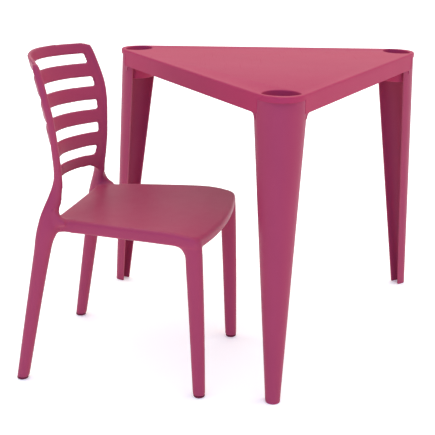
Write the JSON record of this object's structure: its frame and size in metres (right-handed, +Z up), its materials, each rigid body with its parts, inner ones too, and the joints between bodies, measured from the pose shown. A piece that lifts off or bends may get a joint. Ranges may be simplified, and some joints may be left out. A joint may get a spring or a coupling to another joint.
{
  "type": "children's table and chair",
  "caption": "Low three-cornered moulded table with corner cups and channel legs, with a one-piece slatted moulded chair beside it.",
  "frame": {"origin": "middle of the set's footprint box, on the floor", "axes": "+Z up; -Y is the front, where the near corner of the table points; +X to the right along the longest side of the set"},
  "size_m": [0.692, 0.5044, 0.503],
  "materials": {
    "table_top_plastic": "satin moulded polypropylene",
    "table_leg_front_plastic": "satin moulded polypropylene",
    "table_leg_right_plastic": "satin moulded polypropylene",
    "table_leg_left_plastic": "satin moulded polypropylene",
    "chair_frame_plastic": "satin moulded polypropylene",
    "screw_steel": "zinc-plated",
    "glide_plastic": "plain moulded"
  },
  "bodies": {
    "table": {"table_top": "table_top_plastic", "table_leg_front": "table_leg_front_plastic", "table_leg_right": "table_leg_right_plastic", "table_leg_left": "table_leg_left_plastic", "screw_front_a": "screw_steel", "screw_front_b": "screw_steel", "screw_right_a": "screw_steel", "screw_right_b": "screw_steel", "screw_left_a": "screw_steel", "screw_left_b": "screw_steel"},
    "chair": {"chair_frame": "chair_frame_plastic", "glide_front_left": "glide_plastic", "glide_front_right": "glide_plastic", "glide_back_left": "glide_plastic", "glide_back_right": "glide_plastic"}
  },
  "joints": [
    {"name": "chair_slide", "type": "slide", "parent": "table", "child": "chair", "axis": [0.9728, -0.2317, 0], "range_m": [-0.3, 0.05]}
  ]
}
